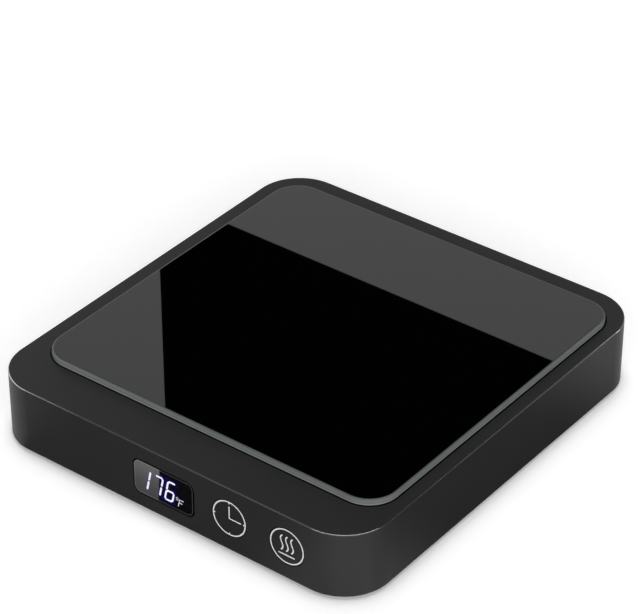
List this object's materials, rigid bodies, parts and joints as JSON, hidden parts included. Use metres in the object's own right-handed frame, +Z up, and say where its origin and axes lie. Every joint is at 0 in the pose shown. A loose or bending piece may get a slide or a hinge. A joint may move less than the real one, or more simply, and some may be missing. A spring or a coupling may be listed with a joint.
{
  "type": "electric mug warmer",
  "caption": "Flat square mug warmer: black glass hot plate in a low plastic casing with rounded corners, with a digital display and round press keys in its front wall.",
  "frame": {"origin": "centre of the casing's footprint, on the surface that the feet stand on", "axes": "+Z up, -Y towards the user, through the wall with the display and keys, +X to the user's right"},
  "size_m": [0.112, 0.12, 0.0204],
  "materials": {
    "case_plastic": "fine satin spark texture, black ABS",
    "key_plastic": "fine satin texture, black ABS",
    "cover_plastic": "fine matte texture, black ABS",
    "foot_rubber": "matte",
    "black_glass": "polished, black backing print",
    "silicone": "matte silicone",
    "spreader_aluminium": "mill finish",
    "heater_foil": "amber polyimide film",
    "insulation_felt": "pressed fibre felt",
    "plated_steel": "zinc plated",
    "screw_steel": "zinc plated",
    "sensor_epoxy": "epoxy bead",
    "fuse_body": "plain",
    "board_laminate": "green solder mask",
    "terminal_plastic": "moulded",
    "connector_plastic": "moulded nylon",
    "capacitor_box": "moulded case",
    "capacitor_can": "sleeved can",
    "component_black": "moulded epoxy",
    "plunger_plastic": "moulded acetal",
    "fuse_glass": "glass tube with caps",
    "lens_acrylic": "polished, smoked black",
    "gasket_foam": "closed cell foam",
    "segment_resin": "white light-guide resin",
    "wire_silicone": "silicone rubber insulation",
    "ribbon_pvc": "flat cable",
    "gland_rubber": "moulded soft plastic",
    "clamp_plastic": "moulded nylon"
  },
  "bodies": {
    "housing": {"top_case": "case_plastic", "bottom_cover": "cover_plastic", "rubber_feet": "foot_rubber", "glass_plate": "black_glass", "glass_seal": "silicone", "heat_spreader": "spreader_aluminium", "heater_film": "heater_foil", "insulation_pad": "insulation_felt", "heater_clamp": "plated_steel", "fuse_strap": "plated_steel", "strap_rivets": "plated_steel", "case_screws": "screw_steel", "clamp_screws": "screw_steel", "board_screws": "screw_steel", "cord_clamp_screws": "screw_steel", "thermistor": "sensor_epoxy", "thermal_fuse": "fuse_body", "main_board": "board_laminate", "front_board": "board_laminate", "mains_terminal": "terminal_plastic", "heater_terminal": "terminal_plastic", "sensor_connector": "connector_plastic", "board_header": "connector_plastic", "front_header": "connector_plastic", "dropper_capacitor": "capacitor_box", "varistor": "capacitor_box", "filter_capacitor": "capacitor_can", "triac": "component_black", "control_chip": "component_black", "timer_switch": "component_black", "heat_switch": "component_black", "display_module": "component_black", "board_fuse": "fuse_glass", "display_lens": "lens_acrylic", "display_gasket": "gasket_foam", "display_segments": "segment_resin", "heater_leads": "wire_silicone", "sensor_leads": "wire_silicone", "fuse_leads": "wire_silicone", "display_ribbon": "ribbon_pvc", "cord_gland": "gland_rubber", "cord_clamp": "clamp_plastic"},
    "timer_button": {"timer_key": "key_plastic", "timer_plunger": "plunger_plastic"},
    "heat_button": {"heat_key": "key_plastic", "heat_plunger": "plunger_plastic"}
  },
  "joints": [
    {"name": "timer_press", "type": "slide", "parent": "housing", "child": "timer_button", "axis": [0, 1, 0], "range_m": [0, 0.0006], "stiffness_N_per_m": 1500},
    {"name": "heat_press", "type": "slide", "parent": "housing", "child": "heat_button", "axis": [0, 1, 0], "range_m": [0, 0.0006], "stiffness_N_per_m": 1500}
  ]
}
